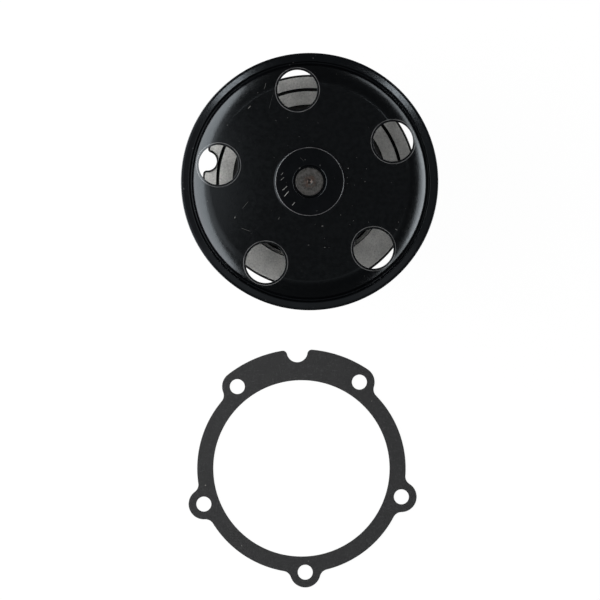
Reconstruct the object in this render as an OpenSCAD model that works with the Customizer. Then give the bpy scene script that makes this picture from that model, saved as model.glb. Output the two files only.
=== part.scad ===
// Engine water pump with a fixed ribbed-belt pulley, and its loose mounting gasket.
// Origin: centre of the mounting face. +Z runs along the shaft towards the pulley.

/* [Pulley] */
// Outer diameter of the pulley
pulley_d = 144.5; // [142:0.5:146]
// Height of the flat web above the mounting face
web_z = 60; // [59:0.5:62]
// Sheet thickness of the web
web_t = 2.3; // [1.8:0.1:2.5]
// Diameter of the flat part of the web
web_flat_d = 111.6; // [111:0.2:113]
// Bend radius of the shoulder round the web
shoulder_r = 16.8; // [16:0.2:18]
// Diameter of the access holes
access_hole_d = 22.4; // [18:0.1:23]
// Diameter of the circle of access holes
access_circle_d = 104.2; // [96:0.2:105]
// Angle of the first access hole
access_angle = 25.6; // [20:0.1:30]
// Number of belt ribs
belt_ribs = 6; // [4:1:6]

/* [Hub and shaft] */
// Diameter of the shaft, which is also the bearing's inner race
shaft_d = 15.918; // [15.9:0.001:15.95]
// Height of the front end of the shaft
shaft_top_z = 61.4; // [60:0.1:61.8]
// Diameter of the hub's collar in front of the web
hub_collar_d = 37.4; // [34:0.2:40]
// Height of the collar above the web
hub_collar_h = 2; // [1.5:0.1:3]
// Diameter of the hub's barrel
hub_barrel_d = 28; // [24:0.5:30]

/* [Mounting flange] */
// Number of mounting bolts
bolt_count = 5; // [5:1:5]
// Diameter of the bolt circle
bolt_circle_d = 116.9; // [116:0.1:118]
// Diameter of the bolt holes
bolt_hole_d = 8.4; // [8:0.1:9]
// Radius of the ears round the bolt holes
ear_r = 8.6; // [8:0.1:9]
// Diameter of the round part of the flange
flange_d = 119.7; // [118:0.1:120]
// Thickness of the flange
flange_t = 8; // [7:0.5:9]
// Angle of the bolt ear that starts the flange's shoulder
flange_angle = 132.7; // [132:0.1:133.5]
// Height of the raised pad above the flange
pad_h = 2.5; // [2:0.1:3]
// Diameter of the spigot that centres the pump in the engine
spigot_d = 97.6; // [96:0.1:98.4]
// Depth of the spigot below the mounting face
spigot_h = 4; // [3:0.5:5]

/* [Bearing] */
// Outer diameter of the bearing
bearing_d = 30; // [29.9:0.1:30.2]
// Length of the bearing's outer ring
bearing_l = 38; // [37.5:0.1:38.5]
// Number of balls in each row
ball_count = 8; // [6:1:8]
// Diameter of a ball
ball_d = 6.35; // [6.3:0.01:6.4]

/* [Shaft seal] */
// Outer diameter of the seal's case
seal_cup_d = 36.6; // [36.2:0.1:37]
// Turns of the seal's spring
spring_turns = 3.5; // [3:0.5:4]

/* [Impeller] */
// Diameter of the impeller
impeller_d = 84; // [80:1:88]
// Height of the vanes below their disc
vane_h = 15; // [14:0.5:16]
// Number of vanes
vane_count = 7; // [5:1:7]

/* [Gasket] */
// Thickness of the gasket
gasket_t = 0.8; // [0.6:0.1:1.5]
// Inner diameter of the gasket
gasket_inner_d = 99.1; // [98.6:0.1:99.6]
// Outer diameter of the gasket's ring
gasket_ring_d = 117.3; // [116:0.1:117.4]
// Place of the gasket across the pump
gasket_x = -4.6; // [-20:0.1:20]
// Place of the gasket beside the pump
gasket_y = -161.3; // [-180:0.1:-158]
// Angle of the ear that starts the gasket's shoulder
gasket_angle = 56.1; // [0:0.1:72]

/* [Hidden] */
$fn = 96;

cut = 0.5;                                  // how far a cutter runs past what it cuts
ear_step = 360 / bolt_count;
bolt_r = bolt_circle_d / 2;
flange_r = flange_d / 2;

// The relief round the dowel bite in the edge of the flange
bite_angle = flange_angle + ear_step / 2;
bite_r = 5.24;
bite_lip_r = 2;
bite_centre_r = 58.6;
relief_half_angle = 11.5;
// The notch in the gasket's shoulder
notch_r = 5.85;
notch_centre_r = 65.6;
notch_lip_r = 2.4;
notch_half = 9;
gasket_relief_half = 14;
ear_fillet_r = 5;
shoulder_edge_r = bolt_r + ear_r;
// The raised pad on the flange, and the drain groove that takes up the rest of the circle
pad_start = 205;
pad_end = 350;
pad_inner_r = 43.3;
pad_step = 0.7;
groove_r = 51.75;
groove_w = 1.6;
groove_depth = 2.4;

// The casting's neck and boss
neck_r = 41;
neck_fillet_r = 2.5;
boss_r = 22.5;
bearing_z = 10;
boss_top_z = bearing_z + bearing_l - 1;
rib_t = 4;
rib_top_z = 36;
rib_foot_r = 52;
seal_boss_r = 26;
seal_boss_z = -8;
seal_seat_z = 5;
weep_chamber_r = 13;
slinger_z = 6.2;
slinger_r = 11.8;
slinger_t = 1;
weep_hole_r = 1.8;
weep_tilt = 18;

// The bearing's two rows
ball_r = ball_d / 2;
ball_path_r = 10.25;
ball_gap = 0.05;
rear_row_z = bearing_z + 9;
front_row_z = bearing_z + bearing_l - 9;
land_r = 12.4;
bearing_seal_r = 13;
bearing_seal_t = 1.5;
bearing_seal_inset = 0.8;
lip_gap = 0.08;
cage_inner_r = 8.8;
cage_outer_r = 11.7;
cage_back = 3.9;
cage_front = 1.8;
pocket_gap = 0.12;

shaft_r = shaft_d / 2;
shaft_chamfer = 0.6;

// The shaft seal, named from the bearing's end down
seal_cup_r = seal_cup_d / 2;
seal_cup_t = 1;
seal_flange_r = 21;
seal_face_z = -7.5;
carbon_back_z = -4;
carbon_inner_r = 10.8;
carbon_nose_r = 13.6;
carbon_outer_r = 15.5;
bellows_inner_r = 10.5;
bellows_outer_r = 12;
bellows_flange_t = 1.2;
spring_r = 14.4;
spring_wire_r = 0.65;
mating_r = 14.6;
mating_inner_r = 9.8;
mating_t = 3.5;
boot_t = 1;

impeller_r = impeller_d / 2;
shroud_top_z = -12.5;
shroud_t = 2.5;
vane_top_z = shroud_top_z - shroud_t;
floor_z = vane_top_z - vane_h;
impeller_hub_r = 16;
bush_r = 11.5;
bush_bottom_z = floor_z + 2;
shaft_bottom_z = bush_bottom_z - 0.8;
vane_t = 3;
vane_sweep = -62;

// The pulley's rim: ribs of the common 3.56 mm belt profile between two round lips
rib_pitch = 3.56;
rim_tip_r = pulley_d / 2 - 3;
rim_root_r = rim_tip_r - 2.8;
rim_inner_r = rim_root_r - 2.3;
shoulder_bend = 10;                         // how sharply the web bends down where the shoulder starts
back_bend_r = 10.7;
crease_z = web_z - 6.8;
lip_z = crease_z + 1.2;
rib_start_z = crease_z - 3.4;
rib_end_z = rib_start_z - belt_ribs * rib_pitch;
rim_back_z = rib_end_z - 3.4;
hub_back_z = 49.5;
hub_recess_r = 8.9;
hub_recess_edge_r = 9.4;
hub_recess_depth = 2.5;
access_edge = 0.8;

function polar(r, a) = [r * cos(a), r * sin(a)];
function arc(centre, r, start, end, steps) =
    [for (i = [0:steps]) centre + polar(r, start + (end - start) * i / steps)];

// A pie slice from the origin, from one angle to another
module sector(r, start, end) {
    steps = 12;
    polygon(concat([[0, 0]], [for (i = [0:steps]) polar(r, start + (end - start) * i / steps)]));
}

// The triangle between the outline's centre, an ear's centre and the centre of the blend beside it
function blend_swing(disc_r) =
    let (reach = disc_r + ear_fillet_r, span = ear_r + ear_fillet_r)
    acos((reach * reach + bolt_r * bolt_r - span * span) / (2 * reach * bolt_r));
function blend_turn(disc_r) =
    let (reach = disc_r + ear_fillet_r, span = ear_r + ear_fillet_r)
    acos((reach * reach + span * span - bolt_r * bolt_r) / (2 * reach * span));

// Half of an ear: its blend into the disc and its round edge, out to the ear's tip
function ear_rise(disc_r, a) =
    let (swing = blend_swing(disc_r), turn = blend_turn(disc_r))
    concat(arc(polar(disc_r + ear_fillet_r, a - swing), ear_fillet_r, a - swing + 180,
            a - swing + 180 - turn, 6),
        arc(polar(bolt_r, a), ear_r, a - swing - turn + 4, a, 9));
function ear_fall(disc_r, a) =
    let (swing = blend_swing(disc_r), turn = blend_turn(disc_r))
    concat(arc(polar(bolt_r, a), ear_r, a, a + swing + turn - 4, 9),
        arc(polar(disc_r + ear_fillet_r, a + swing), ear_fillet_r, a + swing + 180 + turn,
            a + swing + 180, 6));
function disc_edge(disc_r, a) =
    let (swing = blend_swing(disc_r))
    arc([0, 0], disc_r, a + swing + 1.5, a + ear_step - swing - 1.5, 20);

// A round notch in an edge of radius edge_r, with a round lip on each side
function notch_edge(edge_r, centre_r, r, lip, a) =
    let (swing = acos((pow(edge_r - lip, 2) + centre_r * centre_r - pow(r + lip, 2))
             / (2 * (edge_r - lip) * centre_r)),
         turn = acos((pow(edge_r - lip, 2) + pow(r + lip, 2) - centre_r * centre_r)
             / (2 * (edge_r - lip) * (r + lip))))
    concat(arc(polar(edge_r - lip, a - swing), lip, a - swing, a - swing + 180 - turn, 6),
        arc(polar(centre_r, a), r, a - swing - turn + 355, a + swing + turn + 5, 12),
        arc(polar(edge_r - lip, a + swing), lip, a + swing + 180 + turn, a + swing + 360, 6));

// The outline that the flange and the gasket share: a disc with ears, and a shoulder from the first ear
// to the second. The shoulder steps down to relief_r round the notch.
function face_outline(disc_r, relief_r, relief_half, notch_r_at, r, lip) =
    let (middle = ear_step / 2)
    concat(
        ear_rise(disc_r, 0),
        arc([0, 0], shoulder_edge_r, 3, middle - relief_half, 12),
        arc([0, 0], relief_r, middle - relief_half + 0.5, middle - notch_half, 2),
        notch_edge(relief_r, notch_r_at, r, lip, middle),
        arc([0, 0], relief_r, middle + notch_half, middle + relief_half - 0.5, 2),
        arc([0, 0], shoulder_edge_r, middle + relief_half, ear_step - 3, 12),
        ear_fall(disc_r, ear_step),
        [for (i = [1:bolt_count - 2]) each concat(disc_edge(disc_r, i * ear_step),
            ear_rise(disc_r, (i + 1) * ear_step), ear_fall(disc_r, (i + 1) * ear_step))],
        disc_edge(disc_r, (bolt_count - 1) * ear_step));

module bolt_holes(angle, low, high) {
    for (i = [0:bolt_count - 1])
        translate(concat(polar(bolt_r, angle + i * ear_step), low))
            cylinder(d = bolt_hole_d, h = high - low);
}

module flange_outline() {
    rotate(flange_angle)
        polygon(face_outline(flange_r, flange_r, relief_half_angle, bite_centre_r, bite_r, bite_lip_r));
}

// The neck that carries the bearing, as a solid of revolution
module neck() {
    rotate_extrude($fn = 120)
        polygon(concat([[0, 0], [neck_r + neck_fillet_r - 0.2, 0]],
            arc([neck_r + neck_fillet_r - 0.2, flange_t + neck_fillet_r], neck_fillet_r, 270, 195, 6),
            [[boss_r + 7, rib_top_z - 10], [boss_r + 3, rib_top_z - 6], [boss_r, rib_top_z],
             [boss_r, boss_top_z - 1], [boss_r - 1, boss_top_z], [0, boss_top_z]]));
}

module ribs() {
    for (i = [0:bolt_count - 1])
        rotate([90, 0, flange_angle + i * ear_step])
            translate([0, 0, -rib_t / 2])
                linear_extrude(rib_t)
                    polygon([[boss_r - 3, flange_t - 1], [rib_foot_r, flange_t - 1],
                        [rib_foot_r, flange_t + 1.5], [boss_r + 2, rib_top_z - 1.3],
                        [boss_r - 3, rib_top_z - 1.3]]);
}

module housing() {
    color("silver")
        difference() {
            union() {
                linear_extrude(flange_t) flange_outline();
                translate([0, 0, flange_t - cut])
                    linear_extrude(pad_h + cut)
                        difference() {
                            intersection() {
                                circle(flange_r - pad_step, $fn = 180);
                                sector(90, pad_start, pad_end);
                            }
                            circle(pad_inner_r);
                        }
                for (i = [0:bolt_count - 1])
                    translate(concat(polar(bolt_r, flange_angle + i * ear_step), flange_t - cut))
                        cylinder(r = ear_r - 0.6, h = pad_h + cut);
                translate([0, 0, -spigot_h]) cylinder(d = spigot_d, h = spigot_h + cut, $fn = 180);
                translate([0, 0, seal_boss_z]) cylinder(r = seal_boss_r, h = -seal_boss_z);
                neck();
                ribs();
            }
            bolt_holes(flange_angle, -cut, flange_t + pad_h + cut);
            // the drain groove in the flange, outside the pad
            translate([0, 0, flange_t - groove_depth])
                linear_extrude(groove_depth + cut)
                    difference() {
                        intersection() {
                            circle(groove_r + groove_w / 2);
                            sector(90, pad_end - 360, pad_start);
                        }
                        circle(groove_r - groove_w / 2);
                        for (i = [0:bolt_count - 1])
                            translate(polar(bolt_r, flange_angle + i * ear_step)) circle(ear_r + 1);
                    }
            // the hollow behind the flange
            rotate_extrude()
                polygon([[seal_boss_r, -spigot_h - cut], [spigot_d / 2 - 5, -spigot_h - cut],
                    [spigot_d / 2 - 5, 0], [spigot_d / 2 - 12.5, 4.5], [seal_boss_r, 4.5]]);
            // bores for the seal, the weep chamber and the bearing
            translate([0, 0, seal_boss_z - cut])
                cylinder(r = seal_cup_r, h = seal_seat_z - seal_boss_z + cut);
            translate([0, 0, seal_seat_z - cut])
                cylinder(r = weep_chamber_r, h = bearing_z - seal_seat_z + 2 * cut);
            translate([0, 0, bearing_z]) cylinder(d = bearing_d, h = bearing_l);
            // the weep hole, which drains the chamber at the bottom of the neck
            translate([0, 0, bearing_z - 2])
                rotate([90 - weep_tilt, 0, 0])
                    cylinder(r = weep_hole_r, h = neck_r + 10, $fn = 24);
        }
}

module bearing_outer_ring() {
    seal_seat = bearing_seal_inset + bearing_seal_t;
    color("lightgray")
        translate([0, 0, bearing_z])
            rotate_extrude()
                difference() {
                    translate([land_r, 0]) square([bearing_d / 2 - land_r, bearing_l]);
                    for (z = [rear_row_z, front_row_z])
                        translate([ball_path_r, z - bearing_z]) circle(ball_r + ball_gap);
                    for (z = [-cut, bearing_l - seal_seat])
                        translate([land_r - cut, z])
                            square([bearing_seal_r - land_r + cut, seal_seat + cut]);
                }
}

// A lip seal: a flat ring whose inner edge thins to a lip
module bearing_seal() {
    rotate_extrude()
        polygon([[shaft_r + lip_gap, bearing_seal_t * 0.3], [shaft_r + 1.4, 0], [bearing_seal_r, 0],
            [bearing_seal_r, bearing_seal_t], [shaft_r + 1.4, bearing_seal_t],
            [shaft_r + lip_gap, bearing_seal_t * 0.7]]);
}

module front_bearing_seal() {
    color("saddlebrown")
        translate([0, 0, bearing_z + bearing_l - bearing_seal_inset - bearing_seal_t]) bearing_seal();
}

module rear_bearing_seal() {
    color("saddlebrown") translate([0, 0, bearing_z + bearing_seal_inset]) bearing_seal();
}

module ball_row(r) {
    for (i = [0:ball_count - 1])
        translate(concat(polar(ball_path_r, i * 360 / ball_count), 0)) sphere(r, $fn = 48);
}

// A snap-in cage: a ring with a round pocket for each ball, open on one side
module ball_cage() {
    difference() {
        rotate_extrude()
            translate([cage_inner_r, -cage_back])
                square([cage_outer_r - cage_inner_r, cage_back + cage_front]);
        ball_row(ball_r + pocket_gap);
    }
}

module front_bearing_balls() {
    color("gainsboro") translate([0, 0, front_row_z]) ball_row(ball_r);
}

module rear_bearing_balls() {
    color("gainsboro") translate([0, 0, rear_row_z]) ball_row(ball_r);
}

module front_ball_cage() {
    color("wheat") translate([0, 0, front_row_z]) ball_cage();
}

module rear_ball_cage() {
    color("wheat") translate([0, 0, rear_row_z]) mirror([0, 0, 1]) ball_cage();
}

module pump_shaft() {
    color("gray")
        rotate_extrude()
            difference() {
                polygon([[0, shaft_bottom_z], [shaft_r - shaft_chamfer, shaft_bottom_z],
                    [shaft_r, shaft_bottom_z + shaft_chamfer], [shaft_r, shaft_top_z - shaft_chamfer],
                    [shaft_r - shaft_chamfer, shaft_top_z], [1.6, shaft_top_z], [0, shaft_top_z - 1.2]]);
                for (z = [rear_row_z, front_row_z])
                    translate([ball_path_r, z]) circle(ball_r + ball_gap);
            }
}

// The pulley's section: the web's face, the shoulder, the crease, the front lip, the ribs, the back lip
function pulley_section() =
    let (flat_r = web_flat_d / 2, edge_r = pulley_d / 2, shoulder_end_r = edge_r - 7.05,
         centre = [flat_r - shoulder_r * sin(shoulder_bend), web_z - shoulder_r * cos(shoulder_bend)],
         back_centre = [flat_r, web_z - web_t - back_bend_r])
    concat(
        [[hub_barrel_d / 2, web_z]],
        arc(centre, shoulder_r, 90 - shoulder_bend, acos((shoulder_end_r - centre[0]) / shoulder_r), 12),
        [[edge_r - 6.1, crease_z], [edge_r - 5.3, crease_z], [edge_r - 4.7, lip_z], [edge_r - 4.1, lip_z],
         [edge_r - 1.4, lip_z - 0.38], [edge_r - 0.4, lip_z - 0.44], [edge_r, lip_z - 0.8]],
        [[edge_r, rib_start_z + 1.4]],
        [for (i = [0:belt_ribs - 1], step = [[0.1, 0], [0.4, -1], [0.6, -1], [0.9, 0]])
            [rim_tip_r + (rim_tip_r - rim_root_r) * step[1], rib_start_z - (i + step[0]) * rib_pitch]],
        [[edge_r, rib_end_z - 1.4]],
        arc([edge_r - 1.5, rim_back_z + 1.5], 1.5, 0, -90, 6),
        [[rim_inner_r, rim_back_z]],
        arc(back_centre, back_bend_r, acos((rim_inner_r - flat_r) / back_bend_r), 90, 12),
        [[hub_barrel_d / 2, web_z - web_t]]);

module pulley() {
    hole_r = access_hole_d / 2;
    color("#18191b")
        difference() {
            rotate_extrude($fn = 180) polygon(pulley_section());
            for (i = [0:4])
                translate(concat(polar(access_circle_d / 2, access_angle + i * 72), web_z)) {
                    translate([0, 0, -shoulder_r]) cylinder(r = hole_r, h = shoulder_r + cut);
                    translate([0, 0, -access_edge])
                        cylinder(r1 = hole_r, r2 = hole_r + 2 * access_edge, h = 2 * access_edge);
                }
        }
}

module pulley_hub() {
    face_z = web_z + hub_collar_h;
    collar_r = hub_collar_d / 2;
    barrel_r = hub_barrel_d / 2;
    edge = 0.7;
    color("#202124")
        rotate_extrude()
            polygon(concat(
                [[shaft_r, hub_back_z], [barrel_r - 1, hub_back_z], [barrel_r, hub_back_z + 1],
                 [barrel_r, web_z], [collar_r + 1.2, web_z], [collar_r, web_z + 0.8]],
                arc([collar_r - edge, face_z - edge], edge, 0, 90, 4),
                [[hub_recess_edge_r, face_z], [hub_recess_r, face_z - 0.8],
                 [hub_recess_r, face_z - hub_recess_depth], [shaft_r, face_z - hub_recess_depth]]));
}

module slinger() {
    sleeve_r = shaft_r + slinger_t;
    color("darkgray")
        rotate_extrude()
            translate([0, slinger_z])
                polygon([[shaft_r, 0], [slinger_r - 0.6, 0], [slinger_r, slinger_t + 0.2],
                    [slinger_r - 0.9, slinger_t + 0.2], [sleeve_r, slinger_t], [sleeve_r, 2.4 * slinger_t],
                    [shaft_r, 2.4 * slinger_t]]);
}

module seal_cup() {
    top = seal_seat_z;
    inner = seal_cup_r - seal_cup_t;
    color("goldenrod")
        rotate_extrude()
            polygon([[bellows_inner_r, top], [seal_cup_r, top], [seal_cup_r, seal_boss_z],
                [seal_flange_r, seal_boss_z], [seal_flange_r, seal_boss_z - seal_cup_t],
                [inner, seal_boss_z - seal_cup_t], [inner, top - seal_cup_t],
                [bellows_inner_r, top - seal_cup_t]]);
}

module seal_bellows() {
    top = seal_seat_z - seal_cup_t;
    low = carbon_back_z;
    rim = seal_cup_r - seal_cup_t - 0.4;
    bead = bellows_outer_r + 1.2;
    color("dimgray")
        rotate_extrude()
            polygon([[bellows_inner_r, top], [rim, top], [rim, top - bellows_flange_t],
                [bellows_outer_r, top - bellows_flange_t], [bellows_outer_r, low + bellows_flange_t],
                [bead, low + bellows_flange_t], [bead, low], [bellows_inner_r, low]]);
}

// The spring: a round wire swept along a helix, with a ring of points for each step
module seal_spring() {
    sides = 8;
    steps = 24 * spring_turns;
    low = carbon_back_z + 0.8 + spring_wire_r;
    high = seal_seat_z - seal_cup_t - bellows_flange_t - spring_wire_r;
    points = [for (i = [0:steps], k = [0:sides - 1])
        let (turn = 360 * spring_turns * i / steps, across = polar(spring_wire_r, 360 * k / sides))
        concat(polar(spring_r + across[0], turn), low + (high - low) * i / steps + across[1])];
    walls = [for (i = [0:steps - 1], k = [0:sides - 1])
        let (next = (k + 1) % sides)
        [i * sides + next, i * sides + k, (i + 1) * sides + k, (i + 1) * sides + next]];
    caps = [[for (k = [0:sides - 1]) k], [for (k = [sides - 1:-1:0]) steps * sides + k]];
    color("lightgray") polyhedron(points, concat(walls, caps));
}

module seal_spring_retainer() {
    inner = bellows_outer_r + 1.3;
    outer = 16.4;
    t = 0.8;
    color("darkgray")
        rotate_extrude()
            polygon([[inner, carbon_back_z], [inner, carbon_back_z + t], [outer, carbon_back_z + t],
                [outer, carbon_back_z - 2], [outer - t, carbon_back_z - 2], [outer - t, carbon_back_z]]);
}

module carbon_face_ring() {
    step_z = carbon_back_z - 2.2;
    color("#303030")
        rotate_extrude()
            polygon([[carbon_inner_r, carbon_back_z], [carbon_outer_r, carbon_back_z],
                [carbon_outer_r, step_z], [carbon_nose_r, step_z], [carbon_nose_r, seal_face_z],
                [carbon_inner_r, seal_face_z]]);
}

module mating_ring() {
    color("ivory")
        rotate_extrude()
            translate([mating_inner_r, seal_face_z - mating_t])
                square([mating_r - mating_inner_r, mating_t]);
}

module mating_ring_boot() {
    foot_z = seal_face_z - mating_t;
    color("#252525")
        rotate_extrude()
            polygon([[shaft_r, seal_face_z - 0.6], [mating_inner_r, seal_face_z - 0.6],
                [mating_inner_r, foot_z], [mating_r, foot_z], [mating_r, foot_z - boot_t],
                [shaft_r, foot_z - boot_t]]);
}

// One curved vane, which leans back as it runs outwards
module vane() {
    inner = impeller_hub_r - 2;
    outer = impeller_r - 0.6;
    steps = 14;
    sides = [for (side = [-1, 1]) [for (i = [0:steps])
        let (share = i / steps, r = inner + (outer - inner) * share)
        polar(r, vane_sweep * pow(share, 0.8) + side * vane_t / 2 / r * 180 / PI)]];
    polygon(concat(sides[0], [for (i = [steps:-1:0]) sides[1][i]]));
}

module impeller() {
    hub_h = seal_face_z - mating_t - boot_t - bush_bottom_z;
    color("#2b2b2b")
        difference() {
            union() {
                translate([0, 0, vane_top_z]) cylinder(r = impeller_r, h = shroud_t);
                translate([0, 0, bush_bottom_z]) cylinder(r = impeller_hub_r, h = hub_h);
                for (i = [0:vane_count - 1])
                    rotate(i * 360 / vane_count)
                        translate([0, 0, floor_z]) linear_extrude(vane_h + cut) vane();
            }
            translate([0, 0, bush_bottom_z - cut]) cylinder(r = bush_r, h = hub_h + 2 * cut);
        }
}

module impeller_bush() {
    h = seal_face_z - mating_t - boot_t - bush_bottom_z;
    color("goldenrod")
        translate([0, 0, bush_bottom_z])
            difference() {
                cylinder(r = bush_r, h = h);
                translate([0, 0, -cut]) cylinder(r = shaft_r, h = h + 2 * cut);
            }
}

module gasket() {
    color("#303132")
        translate([gasket_x, gasket_y, floor_z])
            difference() {
                linear_extrude(gasket_t)
                    rotate(gasket_angle)
                        polygon(face_outline(gasket_ring_d / 2, shoulder_edge_r, gasket_relief_half,
                            notch_centre_r, notch_r, notch_lip_r));
                translate([0, 0, -cut]) cylinder(d = gasket_inner_d, h = gasket_t + 2 * cut, $fn = 180);
                bolt_holes(gasket_angle, -cut, gasket_t + cut);
            }
}

housing();
bearing_outer_ring();
front_bearing_seal();
rear_bearing_seal();
front_bearing_balls();
rear_bearing_balls();
front_ball_cage();
rear_ball_cage();
pump_shaft();
pulley();
pulley_hub();
slinger();
seal_cup();
seal_bellows();
seal_spring();
seal_spring_retainer();
carbon_face_ring();
mating_ring();
mating_ring_boot();
impeller();
impeller_bush();
gasket();
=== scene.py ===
"""Studio picture of an engine water pump with its belt pulley on, and its loose mounting gasket beside it.

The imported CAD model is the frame. The pieces that show are rebuilt here as finer meshes in the same place,
and every CAD node that stays gets a procedural material. Lengths are in millimetres until they go into a mesh.
"""

import math

import bmesh
import bpy
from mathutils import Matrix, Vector


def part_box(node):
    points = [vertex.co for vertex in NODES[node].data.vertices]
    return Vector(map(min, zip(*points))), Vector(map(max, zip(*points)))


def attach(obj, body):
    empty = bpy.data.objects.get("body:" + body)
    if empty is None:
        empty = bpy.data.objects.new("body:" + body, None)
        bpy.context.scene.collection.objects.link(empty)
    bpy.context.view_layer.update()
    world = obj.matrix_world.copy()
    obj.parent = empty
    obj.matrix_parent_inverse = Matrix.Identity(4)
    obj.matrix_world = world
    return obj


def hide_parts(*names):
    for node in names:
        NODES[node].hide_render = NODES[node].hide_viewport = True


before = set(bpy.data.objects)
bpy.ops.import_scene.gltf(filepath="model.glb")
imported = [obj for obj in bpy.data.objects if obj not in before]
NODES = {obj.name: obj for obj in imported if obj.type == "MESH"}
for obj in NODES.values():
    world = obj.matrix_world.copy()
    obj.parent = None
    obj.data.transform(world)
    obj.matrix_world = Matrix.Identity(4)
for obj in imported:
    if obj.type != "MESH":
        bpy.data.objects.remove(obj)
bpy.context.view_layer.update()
MM = 0.001


def top_of(node):
    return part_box(node)[1].z / MM


def foot_of(node):
    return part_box(node)[0].z / MM


# ---------------------------------------------------------------- driving sizes, in millimetres and degrees
FLOOR_Z = foot_of("gasket")
WEB_Z = top_of("pulley")
RIM_BACK_Z = foot_of("pulley")
HUB_Z = top_of("pulley_hub")
HUB_BACK_Z = foot_of("pulley_hub")
SHAFT_TOP_Z = top_of("pump_shaft")
SHAFT_FOOT_Z = foot_of("pump_shaft")
BOSS_TOP_Z = top_of("housing")
SEAL_BOSS_Z = foot_of("housing")
GASKET_T = top_of("gasket") - FLOOR_Z

PULLEY_R = 72.4
WEB_T = 2.3
WEB_FLAT_R = 55.8
WEB_OUTER_R = 65.2
SHOULDER_R = 16.8
BEND_ANGLE = math.radians(10.0)
BACK_BEND_R = 10.7
CREASE_Z = 53.2
LIP_Z = 54.4
LIP_SLOPE = 8.0
RIB_START_Z = 49.8
RIB_PITCH = 3.56
RIB_COUNT = 6
ACCESS_R = 52.1
ACCESS_HOLE_R = 11.2
ACCESS_ROLL_R = 0.2
# radius of the painted highlight round each access hole
HIGHLIGHT_RING_R = 12.45
ACCESS_ANGLE = 25.6
ACCESS_COUNT = 5
# the piece of the web round each access hole: its inner radius, and half its angle
PATCH_INNER_R = 38.5
PATCH_HALF = 17
BARREL_R = 14.0
SHAFT_R = 7.959

BOLT_COUNT = 5
BOLT_R = 58.45
BOLT_HOLE_R = 4.2
EAR_R = 8.6
EAR_BLEND_R = 5.0
EAR_STEP = 72.0
SHOULDER_EDGE_R = BOLT_R + EAR_R
FLANGE_R = 60.1
FLANGE_EDGE = 1.2
FLANGE_T = 8.0
FLANGE_ANGLE = 132.7
PAD_FROM, PAD_TO, PAD_H = 205.0, 350.0, 2.5
GROOVE_R, GROOVE_W, GROOVE_DEPTH = 51.75, 1.6, 2.4
# where the neck meets the flange's face, and where the face's round rows end
NECK_FOOT_R = 43.4
ROUND_ROWS_R = 53.0

GASKET_CENTRE = (-4.6, -161.3)
GASKET_RING_R = 58.65
GASKET_INNER_R = 49.55
GASKET_ANGLE = 56.1

IMPELLER_R = 42.0
SHROUD_TOP_Z = -12.5
SHROUD_T = 2.5
VANES = 7
VANE_T = 3.0
VANE_SWEEP = -62.0


# ---------------------------------------------------------------- outlines and profiles
def polar(r, a):
    return (r * math.cos(math.radians(a)), r * math.sin(math.radians(a)))


def bolt_centres(first_angle):
    return [polar(BOLT_R, first_angle + i * EAR_STEP) for i in range(BOLT_COUNT)]


def arc(centre, r, start, end, steps):
    """Points on an arc, from the angle start to the angle end."""
    out = []
    for i in range(steps + 1):
        x, y = polar(r, start + (end - start) * i / steps)
        out.append((centre[0] + x, centre[1] + y))
    return out


def rounded(points, steps=4):
    """An open outline of (x, y) corners, where a third number rounds the corner off to that radius."""
    out = []
    for i, point in enumerate(points):
        here = Vector(point[:2])
        radius = point[2] if len(point) > 2 else 0.0
        if radius <= 0 or i in (0, len(points) - 1):
            out.append(tuple(here))
            continue
        back = (Vector(points[i - 1][:2]) - here).normalized()
        ahead = (Vector(points[i + 1][:2]) - here).normalized()
        half = math.acos(max(-1.0, min(1.0, back.dot(ahead)))) / 2
        if half > math.radians(89):
            out.append(tuple(here))
            continue
        reach = radius / math.tan(half)
        centre = here + (back + ahead).normalized() * (radius / math.sin(half))
        first, last = here + back * reach - centre, here + ahead * reach - centre
        for k in range(steps + 1):
            mixed = first.lerp(last, k / steps)
            out.append(tuple(centre + mixed.normalized() * radius))
    return held(out)


def held(points, reach=0.12):
    """The same outline, with a point near each end of every long straight to keep its smooth shading flat."""
    out = [points[0]]
    for here, ahead in zip(points, points[1:]):
        a, b = Vector(here), Vector(ahead)
        length = (b - a).length
        if length > 6 * reach:
            out += [tuple(a.lerp(b, reach / length)), tuple(b.lerp(a, reach / length))]
        out.append(ahead)
    return out


def mirror_half(points):
    """A half outline in (across, up), from its left end to the middle, and the same again mirrored."""
    return points + [(-x, y) for x, y in reversed(points) if x < -1e-6]


# ---------------------------------------------------------------- mesh making
def mesh_object(name, verts, faces, sharp=35.0):
    """A smooth-shaded object from points in millimetres; edges over sharp degrees stay sharp."""
    mesh = bpy.data.meshes.new(name)
    mesh.from_pydata([(x * MM, y * MM, z * MM) for x, y, z in verts], [], faces)
    tidy = bmesh.new()
    tidy.from_mesh(mesh)
    bmesh.ops.remove_doubles(tidy, verts=tidy.verts, dist=1e-7)
    bmesh.ops.recalc_face_normals(tidy, faces=tidy.faces)
    tidy.to_mesh(mesh)
    tidy.free()
    mesh.shade_smooth()
    mesh.set_sharp_from_angle(angle=math.radians(sharp))
    obj = bpy.data.objects.new(name, mesh)
    bpy.context.scene.collection.objects.link(obj)
    return obj


def ring_faces(rows, columns, skip=None):
    """Quads between rows of points that each run right round, the last row joined to the first."""
    faces = []
    for i in range(rows):
        for k in range(columns):
            if skip and skip(i, k):
                continue
            j, m = (i + 1) % rows, (k + 1) % columns
            faces.append((i * columns + k, i * columns + m, j * columns + m, j * columns + k))
    return faces


def lathe(name, profile, steps):
    """A solid of revolution from a closed profile of (radius, height)."""
    verts = [(*polar(r, 360 * k / steps), z) for r, z in profile for k in range(steps)]
    return mesh_object(name, verts, ring_faces(len(profile), steps))


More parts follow.
